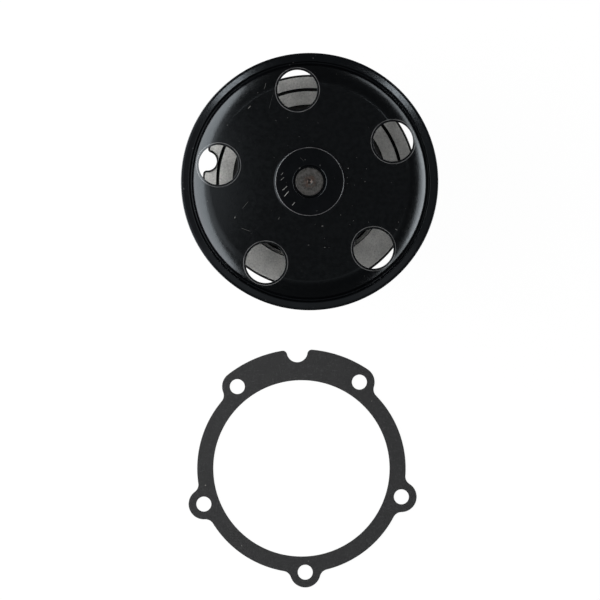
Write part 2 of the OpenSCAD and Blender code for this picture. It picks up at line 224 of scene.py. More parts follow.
def cut_holes(obj, cutters):
    """Takes the cutters out of the object, and out of the scene."""
    for cutter in cutters:
        step = obj.modifiers.new("hole", "BOOLEAN")
        step.operation = "DIFFERENCE"
        step.solver = "EXACT"
        step.object = cutter
    graph = bpy.context.evaluated_depsgraph_get()
    mesh = bpy.data.meshes.new_from_object(obj.evaluated_get(graph))
    obj.modifiers.clear()
    obj.data = mesh
    mesh.set_sharp_from_angle(angle=math.radians(35))
    for cutter in cutters:
        bpy.data.objects.remove(cutter)


def hole_cutter(centre, low, high, r, edge):
    """A spool-shaped cutter: a straight hole with a small chamfer at each end."""
    profile = [(0, low - 2), (r + edge + 2, low - 2), (r, low + edge), (r, high - edge),
               (r + edge + 2, high + 2), (0, high + 2)]
    cutter = lathe("cutter", profile, 64)
    for vertex in cutter.data.vertices:
        vertex.co.x += centre[0] * MM
        vertex.co.y += centre[1] * MM
    return cutter


# ---------------------------------------------------------------- material making
class Shader:
    """A Principled material whose nodes are added by name and joined by value."""

    def __init__(self, name, color, metallic, roughness, **sockets):
        self.material = bpy.data.materials.new(name)
        self.material.use_nodes = True
        self.nodes = self.material.node_tree.nodes
        self.links = self.material.node_tree.links
        self.surface = self.nodes["Principled BSDF"]
        self.surface.inputs["Base Color"].default_value = (*color, 1)
        self.surface.inputs["Metallic"].default_value = metallic
        self.surface.inputs["Roughness"].default_value = roughness
        for socket, value in sockets.items():
            self.surface.inputs[socket.replace("_", " ")].default_value = value
        self.place = self.nodes.new("ShaderNodeTexCoord").outputs["Object"]
        self.bumped = None

    def put(self, socket, value):
        if hasattr(value, "is_linked"):
            self.links.new(value, socket)
        else:
            socket.default_value = value

    def math(self, operation, *values):
        node = self.nodes.new("ShaderNodeMath")
        node.operation = operation
        for socket, value in zip(node.inputs, values):
            self.put(socket, value)
        return node.outputs[0]

    def vector(self, operation, *values):
        node = self.nodes.new("ShaderNodeVectorMath")
        node.operation = operation
        for socket, value in zip(node.inputs, values):
            self.put(socket, value)
        return node.outputs["Value" if operation in ("LENGTH", "DOT_PRODUCT", "DISTANCE") else "Vector"]

    def noise(self, size_mm, detail=2.0, roughness=0.5, place=None):
        """Noise whose blobs are about size_mm across."""
        node = self.nodes.new("ShaderNodeTexNoise")
        node.inputs["Scale"].default_value = 1 / (size_mm * MM)
        node.inputs["Detail"].default_value = detail
        node.inputs["Roughness"].default_value = roughness
        self.put(node.inputs["Vector"], place or self.place)
        return node.outputs["Fac"]

    def band(self, value, low, high, to_low=0.0, to_high=1.0):
        """Value brought from low..high to to_low..to_high, smoothly and within those limits."""
        node = self.nodes.new("ShaderNodeMapRange")
        node.interpolation_type = "SMOOTHSTEP"
        self.put(node.inputs["Value"], value)
        for socket, number in zip(("From Min", "From Max", "To Min", "To Max"), (low, high, to_low, to_high)):
            node.inputs[socket].default_value = number
        return node.outputs["Result"]

    def mix(self, share, first, second):
        node = self.nodes.new("ShaderNodeMix")
        node.data_type = "RGBA"
        self.put(node.inputs["Factor"], share)
        colors = [s for s in node.inputs if s.type == "RGBA"]
        for socket, color in zip(colors, (first, second)):
            self.put(socket, (*color, 1) if isinstance(color, tuple) else color)
        return [s for s in node.outputs if s.type == "RGBA"][0]

    def radius(self):
        """Distance from the shaft's axis, in millimetres."""
        flat = self.vector("MULTIPLY", self.place, (1 / MM, 1 / MM, 0.0))
        return self.vector("LENGTH", flat)

    def turning(self, pitch_mm):
        """Fine rings round the shaft's axis, as a lathe leaves them, from -1 to 1."""
        waver = self.math("MULTIPLY", self.noise(6.0, 1.0), 1.5)
        phase = self.math("MULTIPLY", self.radius(), 2 * math.pi / pitch_mm)
        return self.math("SINE", self.math("ADD", phase, waver))

    def bump(self, height, depth_mm):
        node = self.nodes.new("ShaderNodeBump")
        node.inputs["Strength"].default_value = 1.0
        node.inputs["Distance"].default_value = depth_mm * MM
        self.links.new(height, node.inputs["Height"])
        if self.bumped:
            self.links.new(self.bumped, node.inputs["Normal"])
        self.bumped = node.outputs["Normal"]
        self.links.new(self.bumped, self.surface.inputs["Normal"])
        return self

    def color(self, value):
        self.links.new(value, self.surface.inputs["Base Color"])
        return self

    def rough(self, value):
        self.links.new(value, self.surface.inputs["Roughness"])
        return self


def dash_mask(shader, dashes):
    """Short scratches, each (radius, angle, direction, length, width, strength), in millimetres and degrees."""
    total = None
    for r, angle, direction, length, width, strength in dashes:
        x, y = polar(r, angle)
        middle = (x * MM, y * MM, 0.0)
        along = (*polar(1 / MM, direction), 0.0)
        across = (*polar(1 / MM, direction + 90), 0.0)
        offset = shader.vector("SUBTRACT", shader.place, middle)
        run = shader.math("ABSOLUTE", shader.vector("DOT_PRODUCT", offset, along))
        side = shader.math("ABSOLUTE", shader.vector("DOT_PRODUCT", offset, across))
        mark = shader.math("MULTIPLY", shader.band(run, length * 0.3, length / 2, strength, 0.0),
                           shader.band(side, width * 0.2, width * 0.7, 1.0, 0.0))
        total = mark if total is None else shader.math("MAXIMUM", total, mark)
    return total


def black_paint(name, roughness, peel, tone, dashes=(), highlight_rings=()):
    """Black stoving paint with fine orange peel, specks and scratches, and a painted highlight on rings of (x, y,
    radius).
    """
    s = Shader(name, (tone, tone * 1.1, tone * 1.4), 0.0, roughness, Specular_Tint=(0.84, 0.93, 1.0, 1.0))
    speck = s.band(s.noise(1.3, 0.0), 0.84, 0.87)
    wear = s.band(s.noise(9.0, 3.0), 0.45, 0.75)
    shade = s.mix(wear, (tone * 0.7, tone * 0.8, tone), (tone * 1.3, tone * 1.45, tone * 1.8))
    shade = s.mix(s.math("MULTIPLY", speck, 0.2), shade, (0.3, 0.3, 0.29))
    if dashes:
        scratch = dash_mask(s, dashes)
        shade = s.mix(s.math("MULTIPLY", scratch, 0.8), shade, (0.42, 0.42, 0.4))
    if highlight_rings:
        flat = s.vector("MULTIPLY", s.place, (1.0, 1.0, 0.0))
        near = None
        for x, y, r in highlight_rings:
            away = s.vector("DISTANCE", flat, (x * MM, y * MM, 0.0))
            gap = s.math("ABSOLUTE", s.math("SUBTRACT", away, r * MM))
            near = gap if near is None else s.math("MINIMUM", near, gap)
        # a painted highlight: a thin pale ring on each listed circle, broken up by noise
        line = s.band(near, 0.1 * MM, 0.3 * MM, 1.0, 0.0)
        rim_highlight = s.math("MULTIPLY", line, s.band(s.noise(5.0, 2.0), 0.3, 0.6, 0.5, 1.0))
        shade = s.mix(rim_highlight, shade, (0.13, 0.13, 0.132))
    s.color(shade)
    s.rough(s.band(s.noise(2.2, 3.0), 0.3, 0.7, roughness * 0.9, roughness * 1.12))
    s.bump(s.noise(0.9, 1.0), 0.022 * peel)
    s.bump(s.noise(2.6, 1.0), 0.02 * peel)
    return s.material


def cast_aluminium(name):
    """Blasted cast aluminium: a grainy grey skin with bright and dark grains, and painted shade that darkens it
    below the flange's face.
    """
    s = Shader(name, (0.6, 0.6, 0.58), 0.5, 0.55)
    grain = s.noise(0.95, 3.0, 0.75)
    shade = s.mix(s.band(s.noise(7.0, 4.0), 0.3, 0.7), (0.66, 0.66, 0.64), (0.84, 0.835, 0.81))
    shade = s.mix(s.band(grain, 0.35, 0.5, 0.4, 0.0), shade, (0.36, 0.36, 0.35))
    shade = s.mix(s.band(grain, 0.55, 0.7, 0.0, 0.75), shade, (1.0, 1.0, 0.97))
    # painted shade: the colour goes dark just below the flange's face, on its edge, sides and underside
    height = s.math("MULTIPLY", s.vector("DOT_PRODUCT", s.place, (0.0, 0.0, 1.0)), 1 / MM)
    shade = s.mix(s.band(height, FLANGE_T - 0.5, FLANGE_T - 0.2, 0.8, 0.0), shade, (0.1, 0.1, 0.098))
    s.color(shade)
    s.rough(s.band(s.noise(1.3, 2.0), 0.3, 0.7, 0.42, 0.62))
    s.bump(s.noise(2.4, 3.0), 0.12)
    s.bump(grain, 0.09)
    return s.material


def machined_metal(name, color, metallic, roughness, pitch_mm, depth_mm=0.006, patch_color=None):
    """Metal turned on a lathe: fine rings, and slow changes of tone."""
    s = Shader(name, color, metallic, roughness)
    tone = s.band(s.noise(5.0, 3.0), 0.3, 0.7)
    s.color(s.mix(tone, tuple(c * 0.86 for c in color), patch_color or color))
    s.rough(s.band(s.noise(1.6, 2.0), 0.3, 0.7, roughness * 0.8, min(1.0, roughness * 1.25)))
    s.bump(s.turning(pitch_mm), depth_mm)
    return s.material


def moulded(name, color, roughness, grain_mm=0.5, depth_mm=0.02, **sockets):
    """Moulded rubber or plastic: a dull skin with a fine grain and slow changes of tone."""
    s = Shader(name, color, 0.0, roughness, **sockets)
    tone = s.band(s.noise(6.0, 3.0), 0.3, 0.7)
    s.color(s.mix(tone, tuple(c * 0.8 for c in color), tuple(min(1.0, c * 1.25) for c in color)))
    s.rough(s.band(s.noise(1.5, 2.0), 0.3, 0.7, roughness * 0.85, min(1.0, roughness * 1.15)))
    s.bump(s.noise(grain_mm, 2.0), depth_mm)
    return s.material


def shaft_steel():
    """The shaft: ground steel, its end face turned, with a brownish bloom in the middle."""
    s = Shader("shaft_steel", (0.15, 0.145, 0.14), 0.6, 0.45)
    r = s.radius()
    bloom = s.math("MULTIPLY", s.band(r, 2.0, 4.6, 1.0, 0.0), s.band(s.noise(1.6, 3.0), 0.35, 0.65))
    ring = s.band(s.math("ABSOLUTE", s.math("SUBTRACT", r, 6.0)), 0.5, 1.6, 1.0, 0.0)
    shade = s.mix(s.band(s.noise(1.4, 4.0, 0.6), 0.35, 0.65), (0.045, 0.044, 0.042), (0.11, 0.107, 0.103))
    shade = s.mix(s.math("MULTIPLY", ring, 0.35), shade, (0.16, 0.156, 0.148))
    shade = s.mix(s.math("MULTIPLY", bloom, 0.7), shade, (0.11, 0.06, 0.042))
    grime = s.band(s.noise(1.1, 4.0, 0.6), 0.52, 0.64)
    shade = s.mix(s.math("MULTIPLY", grime, 0.55), shade, (0.035, 0.033, 0.031))
    s.color(shade)
    s.rough(s.band(s.noise(0.8, 2.0), 0.3, 0.7, 0.34, 0.55))
    s.bump(s.noise(0.9, 3.0), 0.035)
    return s.material


def gasket_fibre():
    """Charcoal gasket sheet: matted fibres, slight marbling and a few pale specks."""
    s = Shader("gasket_fibre", (0.024, 0.0245, 0.025), 0.0, 0.75)
    stretched = s.vector("MULTIPLY", s.place, (1.0, 0.4, 1.0))
    crossed = s.vector("MULTIPLY", s.place, (0.4, 1.0, 1.0))
    fibre = s.math("MAXIMUM", s.noise(1.0, 3.0, 0.7, stretched), s.noise(1.0, 3.0, 0.7, crossed))
    shade = s.mix(s.band(fibre, 0.5, 0.75), (0.0145, 0.0148, 0.0156), (0.04, 0.0405, 0.042))
    shade = s.mix(s.band(s.noise(5.0, 3.0), 0.35, 0.65, 0.0, 0.3), shade, (0.024, 0.0243, 0.025))
    shade = s.mix(s.band(s.noise(1.7, 0.0), 0.86, 0.89, 0.0, 0.6), shade, (0.3, 0.29, 0.27))
    s.color(shade)
    s.rough(s.band(fibre, 0.3, 0.7, 0.62, 0.85))
    s.bump(fibre, 0.05)
    return s.material


# ---------------------------------------------------------------- the pulley
def web_top(r):
    """Height of the web's face at a radius: flat, then a slight bend, then a round shoulder."""
    if r <= WEB_FLAT_R:
        return WEB_Z
    out = r - WEB_FLAT_R + SHOULDER_R * math.sin(BEND_ANGLE)
    return WEB_Z - SHOULDER_R * math.cos(BEND_ANGLE) + math.sqrt(SHOULDER_R**2 - out**2)


def web_back(r):
    """Height of the back of the web at a radius."""
    out = min(BACK_BEND_R, max(0.0, r - WEB_FLAT_R))
    return WEB_Z - WEB_T - BACK_BEND_R + math.sqrt(BACK_BEND_R**2 - out**2)


def web_radii():
    """Radii of the web's rows where the access holes are."""
    flat = [PATCH_INNER_R + (WEB_FLAT_R - PATCH_INNER_R) * i / 14 for i in range(14)]
    return flat + [WEB_FLAT_R + (WEB_OUTER_R - WEB_FLAT_R) * i / 20 for i in range(21)]


def rim_profile():
    """From the web's outer edge over the crease, the lip and the belt ribs, to the inside of the rim."""
    tip = PULLEY_R - 3.15
    root = tip - 2.8
    fall = 2.7 * math.tan(math.radians(LIP_SLOPE))
    edge_z = web_top(WEB_OUTER_R)
    face = rounded([(WEB_OUTER_R, edge_z), (65.9, edge_z - 0.9, 0.4), (66.4, CREASE_Z, 0.35),
                    (67.1, CREASE_Z, 0.4), (67.85, LIP_Z, 0.3), (68.3, LIP_Z, 0.2), (71.0, LIP_Z - fall, 0.2),
                    (PULLEY_R - 0.15, LIP_Z - fall - 0.06, 0.4), (PULLEY_R, 53.2, 0.4), (PULLEY_R, 50.4, 0.5),
                    (tip, 49.75, 0.4)])[1:-1]
    ribs = []
    for i in range(RIB_COUNT):
        z = RIB_START_Z - i * RIB_PITCH
        ribs += [(tip, z, 0.25), (tip, z - 0.5, 0.3), (root, z - 1.45, 0.3), (root, z - 2.15, 0.3),
                 (tip, z - 3.1, 0.3)]
    last = RIB_START_Z - RIB_COUNT * RIB_PITCH
    back = [(tip, last, 0.3), (PULLEY_R, last - 1.2, 0.5), (PULLEY_R, RIM_BACK_Z + 0.2, 1.0),
            (70.3, RIM_BACK_Z, 0.8), (WEB_OUTER_R, RIM_BACK_Z, 0.6), (WEB_OUTER_R, web_back(WEB_OUTER_R))]
    return face + rounded([(tip, RIB_START_Z + 0.3)] + ribs + back, 3)[1:-1]


def web_patch(level, angle, radii, top):
    """Rings of points from an access hole's edge out to the border of its piece of the web."""
    turns = [angle - PATCH_HALF + i for i in range(2 * PATCH_HALF)]
    border = [(radii[0], a) for a in turns]
    border += [(r, angle + PATCH_HALF) for r in radii[:-1]]
    border += [(radii[-1], 2 * angle - a) for a in turns]
    border += [(r, angle - PATCH_HALF) for r in reversed(radii[1:])]
    centre = Vector(polar(ACCESS_R, angle))
    edge = ACCESS_ROLL_R if top else 0.4
    wide = ACCESS_HOLE_R + edge
    bends = [math.radians(10 * i) for i in range(10)]
    rings = [(wide - edge * math.cos(b), edge * (1 - math.sin(b))) for b in bends]
    rows = [[] for _ in range(len(rings) + 9)]
    for r, a in border:
        point = Vector(polar(r, a))
        away = (point - centre).normalized()
        for i, (reach, drop) in enumerate(rings):
            at = centre + away * reach
            rows[i].append((at.x, at.y, level(at.length) + (-drop if top else drop)))
        lip = centre + away * wide
        for i in range(1, 10):
            at = lip.lerp(point, (i / 9) ** 1.3)
            rows[len(rings) - 1 + i].append((at.x, at.y, level(at.length)))
    return rows


def make_pulley():
    steps = 360
    radii = web_radii()
    inner = [BARREL_R, BARREL_R + 0.4, 18, 22, 26, 30, 34]
    top = [(r, web_top(r)) for r in inner + radii]
    top[0] = (BARREL_R, WEB_Z - 0.4)
    back = [(r, web_back(r)) for r in reversed(inner + radii)]
    profile = top + rim_profile() + back
    verts = [(*polar(r, ACCESS_ANGLE + k), z) for r, z in profile for k in range(steps)]
    first, last = len(inner), len(inner) + len(radii) - 1
    mirror_first = len(profile) - 1 - last
    mirror_last = len(profile) - 1 - first

    def in_patch(i, k):
        near = (k + EAR_STEP / 2) % EAR_STEP - EAR_STEP / 2
        rows = first <= i < last or mirror_first <= i < mirror_last
        return rows and -PATCH_HALF <= near < PATCH_HALF

    faces = ring_faces(len(profile), steps, in_patch)
    for hole in range(ACCESS_COUNT):
        angle = ACCESS_ANGLE + hole * EAR_STEP
        upper = web_patch(web_top, angle, radii, True)
        lower = web_patch(web_back, angle, radii, False)
        rows = list(reversed(upper)) + lower
        count = len(rows[0])
        start = len(verts)
        for row in rows:
            verts += row
        for i in range(len(rows) - 1):
            for k in range(count):
                m = (k + 1) % count
                a, b = start + i * count, start + (i + 1) * count
                faces.append((a + k, a + m, b + m, b + k))
    shell = mesh_object("pulley_shell", verts, faces, 50)
    points = shell.data.vertices
    for edge in shell.data.edges:
        ends = [points[v].co / MM for v in edge.vertices]
        if all(abs(math.hypot(at.x, at.y) - WEB_FLAT_R) < 0.01 and at.z > WEB_Z - 0.1 for at in ends):
            edge.use_edge_sharp = True
    return shell


def make_hub():
    """The hub's barrel and its collar, with a recess round the shaft."""
    floor_z = HUB_Z - 2.5
    profile = rounded([(SHAFT_R, HUB_BACK_Z), (BARREL_R, HUB_BACK_Z, 0.8), (BARREL_R, WEB_Z - 0.2),
                       (20.2, WEB_Z - 0.1), (20.2, WEB_Z + 0.05), (19.4, WEB_Z + 0.25, 0.2),
                       (19.3, HUB_Z, 0.25), (14.0, HUB_Z), (9.55, HUB_Z, 0.35), (9.0, HUB_Z - 0.75, 0.25),
                       (8.9, floor_z, 0.2), (SHAFT_R, floor_z), (SHAFT_R, HUB_BACK_Z)], 5)[:-1]
    return lathe("hub_collar", profile, 240)


def make_shaft():
    """The shaft, with a centre drilling in each end."""
    top, foot = SHAFT_TOP_Z, SHAFT_FOOT_Z
    profile = rounded([(0, foot + 1.6), (0.9, foot + 1.2), (2.0, foot), (SHAFT_R, foot, 0.7),
                       (SHAFT_R, top, 0.45), (2.1, top - 0.02), (1.5, top - 0.1, 0.3), (0.7, top - 0.8),
                       (0, top - 1.0)], 5)
    return lathe("shaft_body", profile, 144)


# ---------------------------------------------------------------- the outline of the flange and the gasket
def triangle_angles(disc_r):
    """Angles at the centre and at the blend, in the triangle of centre, ear and blend."""
    reach, span = disc_r + EAR_BLEND_R, EAR_R + EAR_BLEND_R
    swing = math.acos((reach**2 + BOLT_R**2 - span**2) / (2 * reach * BOLT_R))
    turn = math.acos((reach**2 + span**2 - BOLT_R**2) / (2 * reach * span))
    return math.degrees(swing), math.degrees(turn)


def ear_side(disc_r, a, side):
    """An ear's blend and round edge, from the disc to the ear's tip; side is -1 before it and 1 after it."""
    swing, turn = triangle_angles(disc_r)
    at = a + side * swing
    blend = arc(polar(disc_r + EAR_BLEND_R, at), EAR_BLEND_R, at + 180, at + 180 + side * turn, 7)
    edge = arc(polar(BOLT_R, a), EAR_R, a + side * (swing + turn), a, 12)
    points = blend + edge[1:]
    return points if side < 0 else points[::-1]


def notch(edge_r, centre_r, r, lip, a):
    """A round notch in an edge, with a round lip on each side."""
    from_centre, from_notch = edge_r - lip, r + lip
    swing = math.degrees(math.acos((from_centre**2 + centre_r**2 - from_notch**2) / (2 * from_centre * centre_r)))
    turn = math.degrees(math.acos((from_centre**2 + from_notch**2 - centre_r**2) / (2 * from_centre * from_notch)))
    before = arc(polar(from_centre, a - swing), lip, a - swing, a - swing + 180 - turn, 7)
    hollow = arc(polar(centre_r, a), r, a - swing - turn + 360, a + swing + turn, 20)
    after = arc(polar(from_centre, a + swing), lip, a + swing + 180 + turn, a + swing + 360, 7)
    return before + hollow[1:-1] + after


def face_outline(disc_r, relief_r, relief_half, notch_at, notch_r, lip):
    """The outline that the flange and the gasket share, from their first ear round to it again."""
    middle = EAR_STEP / 2
    step_in = 0.0 if relief_r == SHOULDER_EDGE_R else 0.7
    swing = triangle_angles(disc_r)[0]
    points = ear_side(disc_r, 0, -1)
    points += arc((0, 0), SHOULDER_EDGE_R, 1.5, middle - relief_half, 22)
    points += arc((0, 0), relief_r, middle - relief_half + step_in, middle - 8.5, 4)[1 if not step_in else 0:]
    points += notch(relief_r, notch_at, notch_r, lip, middle)
    points += arc((0, 0), relief_r, middle + 8.5, middle + relief_half - step_in, 4)[:-1 if not step_in else None]
    points += arc((0, 0), SHOULDER_EDGE_R, middle + relief_half, EAR_STEP - 1.5, 22)
    points += ear_side(disc_r, EAR_STEP, 1)
    for i in range(1, BOLT_COUNT):
        a = i * EAR_STEP
        points += arc((0, 0), disc_r, a + swing + 1.2, a + EAR_STEP - swing - 1.2, 36)
        if i < BOLT_COUNT - 1:
            points += ear_side(disc_r, a + EAR_STEP, -1) + ear_side(disc_r, a + EAR_STEP, 1)[1:]
    return points


def turned(points, angle):
    c, s = math.cos(math.radians(angle)), math.sin(math.radians(angle))
    return [(x * c - y * s, x * s + y * c) for x, y in points]


def inset(points, depth):
    """The outline moved inwards by depth, along its own normals."""
    out = []
    for i, here in enumerate(points):
        ahead = Vector(points[(i + 1) % len(points)]) - Vector(points[i - 1])
        normal = Vector((ahead.y, -ahead.x)).normalized()
        out.append((here[0] - normal.x * depth, here[1] - normal.y * depth))
    return out


# ---------------------------------------------------------------- the gasket
def make_gasket():
    outline = turned(face_outline(GASKET_RING_R, SHOULDER_EDGE_R, 14.0, 65.6, 5.85, 2.4), GASKET_ANGLE)
    cx, cy = GASKET_CENTRE
    low, high, edge = FLOOR_Z, FLOOR_Z + GASKET_T, 0.12

    def ring(r, z):
        return [(*polar(r, math.degrees(math.atan2(y, x))), z) for x, y in outline]

    def edge_row(depth, z):
        return [(x, y, z) for x, y in (inset(outline, depth) if depth else outline)]

    rows = [ring(GASKET_INNER_R, low + edge), ring(GASKET_INNER_R, high - edge), ring(GASKET_INNER_R + edge, high),
            edge_row(edge, high), edge_row(0, high - edge), edge_row(0, low + edge), edge_row(edge, low),
            ring(GASKET_INNER_R + edge, low)]
    verts = [(cx + x, cy + y, z) for row in rows for x, y, z in row]
    gasket = mesh_object("gasket_sheet", verts, ring_faces(len(rows), len(outline)))
    cut_holes(gasket, [hole_cutter((cx + x, cy + y), low, high, BOLT_HOLE_R, 0.1)
                       for x, y in bolt_centres(GASKET_ANGLE)])
    return gasket


# ---------------------------------------------------------------- the housing
FLANGE_BOLTS = bolt_centres(FLANGE_ANGLE)


def smooth_max(a, b, blend):
    """The larger of two heights, with a fillet of about blend where they meet."""
    h = max(0.0, min(1.0, 0.5 + 0.5 * (a - b) / blend))
    return b + (a - b) * h + blend * h * (1 - h)


def ease(x, low, high):
    t = max(0.0, min(1.0, (x - low) / (high - low)))
    return t * t * (3 - 2 * t)


def angle_gap(a, b):
    return (a - b + 180) % 360 - 180


def casting_height(x, y, base):
    """Height of the flange's face: pad, groove, bolt bosses and ribs, blended as a sand casting is."""
    r, a = math.hypot(x, y), math.degrees(math.atan2(y, x)) % 360
    in_pad = ease(a, PAD_FROM - 1, PAD_FROM + 1) * (1 - ease(a, PAD_TO - 1, PAD_TO + 1))
    z = base + PAD_H * in_pad * ease(r, 43.6, 44.2)
    ear = min(range(BOLT_COUNT), key=lambda i: abs(angle_gap(a, FLANGE_ANGLE + i * EAR_STEP)))
    ear_angle = FLANGE_ANGLE + ear * EAR_STEP
    bx, by = polar(BOLT_R, ear_angle)
    near_bolt = math.hypot(x - bx, y - by)
    off_groove = abs(r - GROOVE_R)
    groove = GROOVE_DEPTH * (1 - ease(off_groove, GROOVE_W / 2 - 0.08, GROOVE_W / 2 + 0.08))
    z -= groove * (1 - in_pad) * ease(near_bolt, EAR_R + 0.4, EAR_R + 1.6)
    z = smooth_max(z, FLANGE_T + PAD_H - 3.2 * ease(near_bolt, EAR_R - 1.1, EAR_R + 0.4), 0.5)
    along = x * math.cos(math.radians(ear_angle)) + y * math.sin(math.radians(ear_angle))
    across = abs(-x * math.sin(math.radians(ear_angle)) + y * math.cos(math.radians(ear_angle)))
    crest = 34.0 - (along - 24.0) * 0.87
    rib = crest - 40.0 * ease(across, 1.5, 3.4) - 30.0 * ease(along, 50.0, 54.0)
    return smooth_max(z, rib, 1.6) if r > 22.6 else z


def make_housing():
    outline = turned(face_outline(FLANGE_R, FLANGE_R, 11.5, 58.6, 5.24, 2.0), FLANGE_ANGLE)
    dense = []
    for i, here in enumerate(outline):
        ahead = outline[(i + 1) % len(outline)]
        pieces = max(1, math.ceil(math.dist(here, ahead) / 1.05))
        dense += [tuple(Vector(here).lerp(Vector(ahead), k / pieces)) for k in range(pieces)]
    angles = [math.degrees(math.atan2(y, x)) for x, y in dense]

    def row(r, z):
        return [(*polar(r, a), z) for a in angles]

    def top_row(radius_at):
        out = []
        for i, a in enumerate(angles):
            x, y = polar(radius_at(i), a)
            out.append((x, y, casting_height(x, y, FLANGE_T)))
        return out

    def rim_row(depth, drop):
        return [(x, y, casting_height(x, y, FLANGE_T) - drop) for x, y in inset(dense, depth)]

    def side_row(depth, z):
        return [(x, y, z) for x, y in (inset(dense, depth) if depth else dense)]

    neck = rounded([(15.0, BOSS_TOP_Z - 0.8), (15.8, BOSS_TOP_Z, 0.3), (22.5, BOSS_TOP_Z, 1.2), (22.5, 36.0, 3.0),
                    (25.5, 30.0, 4.0), (29.5, 26.0, 4.0), (40.9, 10.6, 0.6), (41.2, FLANGE_T, 2.0),
                    (NECK_FOOT_R, FLANGE_T)], 6)
    dense_neck = []
    for (r0, z0), (r1, z1) in zip(neck, neck[1:]):
        pieces = max(1, math.ceil(math.dist((r0, z0), (r1, z1)) / 1.2))
        dense_neck += [(r0 + (r1 - r0) * k / pieces, z0 + (z1 - z0) * k / pieces) for k in range(pieces)]
    rows = []
    for r, z in dense_neck:
        ring = []
        for a in angles:
            x, y = polar(r, a)
            ring.append((x, y, casting_height(x, y, z) if r > 22.6 else z))
        rows.append(ring)
    near = [NECK_FOOT_R + 0.43 * i for i in range(17)]
    half = GROOVE_W / 2
    near += [GROOVE_R + side * (half + off) for side, off in ((-1, 0.35), (-1, 0.1), (-1, -0.1), (0, 0.0),
                                                              (1, -0.1), (1, 0.1), (1, 0.35))]
    near.append(ROUND_ROWS_R)
    for r in near:
        rows.append(top_row(lambda i, r=r: r))
    inner_edge = [math.hypot(x, y) for x, y in inset(dense, FLANGE_EDGE + 0.4)]
    for k in range(1, 14):
        rows.append(top_row(lambda i, k=k: ROUND_ROWS_R + (inner_edge[i] - ROUND_ROWS_R) * k / 14))
    rows += [rim_row(FLANGE_EDGE * (1 - math.sin(b)), FLANGE_EDGE * 1.4 * (1 - math.cos(b)))
             for b in (math.radians(step) for step in (0, 15, 30, 45, 60, 75, 90))]
    rows += [side_row(0, 5.0), side_row(0, 0.6), side_row(0.02, 0.35), side_row(0.15, 0.12), side_row(0.4, 0.0)]
    under = rounded([(49.4, 0.0), (48.8, 0.0, 0.3), (48.8, -4.0, 0.6), (44.4, -4.0, 0.8), (43.6, 0.2, 2.0),
                     (36.0, 4.4, 3.0), (26.6, 4.4, 2.0), (26.0, SEAL_BOSS_Z, 1.0), (19.0, SEAL_BOSS_Z, 0.2),
                     (18.3, SEAL_BOSS_Z + 0.7), (18.3, 5.0, 0.3), (13.0, 5.0, 0.3), (13.0, 10.0), (15.0, 10.0)], 4)
    rows += [row(r, z) for r, z in under]
    verts = [point for ring in rows for point in ring]
    casting = mesh_object("housing_casting", verts, ring_faces(len(rows), len(dense)), 42)
    cut_holes(casting, [hole_cutter(centre, 0.0, FLANGE_T + PAD_H, BOLT_HOLE_R, 0.5) for centre in FLANGE_BOLTS])
    return casting


def is_machined(at, normal):
    """Whether a face of the casting is on the mounting face, the spigot, a boss's end, a bore or a bolt hole."""
    r = math.hypot(at.x, at.y)
    mounting_face = at.z < 0.35 and abs(normal.z) > 0.5 and r > 43.5
    spigot = -4.3 < at.z < 0.05 and r > 48.2
    bore = r < 18.6 and at.z < 46.0
    boss_face = abs(normal.z) > 0.9 and (at.z > BOSS_TOP_Z - 0.3 or at.z < SEAL_BOSS_Z + 0.3)
    bolt = any(math.dist((at.x, at.y), centre) < BOLT_HOLE_R + 0.7 for centre in FLANGE_BOLTS)
    return mounting_face or spigot or bore or boss_face or bolt


def is_lip(at, normal):
    """Whether a face of the pulley is on its rim rather than its web."""
    return math.hypot(at.x, at.y) > WEB_OUTER_R + 0.1


def is_painted_shade(at, normal):
    """Whether a face of the casting gets painted shade: in the neck's foot, or on the rounded edges of the flange,
    pad and groove.
    """
    r = math.hypot(at.x, at.y)
    foot = 40.0 < r < (42.1 if at.y < -10.0 else 43.3) and FLANGE_T - 0.1 < at.z < 13.0
    near_top = any(top - 1.35 < at.z < top - 0.005 for top in (FLANGE_T, FLANGE_T + PAD_H))
    side = r > 43.3 and normal.z < 0.985 and near_top
    groove = abs(r - GROOVE_R) < GROOVE_W / 2 + 0.1 and at.z < FLANGE_T - 0.2 and normal.z > -0.5
    return (foot or side or groove) and at.z > FLANGE_T - GROOVE_DEPTH - 0.1


def another_finish(obj, material, test):
    """Gives the material to the faces that pass the test."""
    obj.data.materials.append(material)
    for face in obj.data.polygons:
        if test(face.center / MM, face.normal):
            face.material_index = len(obj.data.materials) - 1


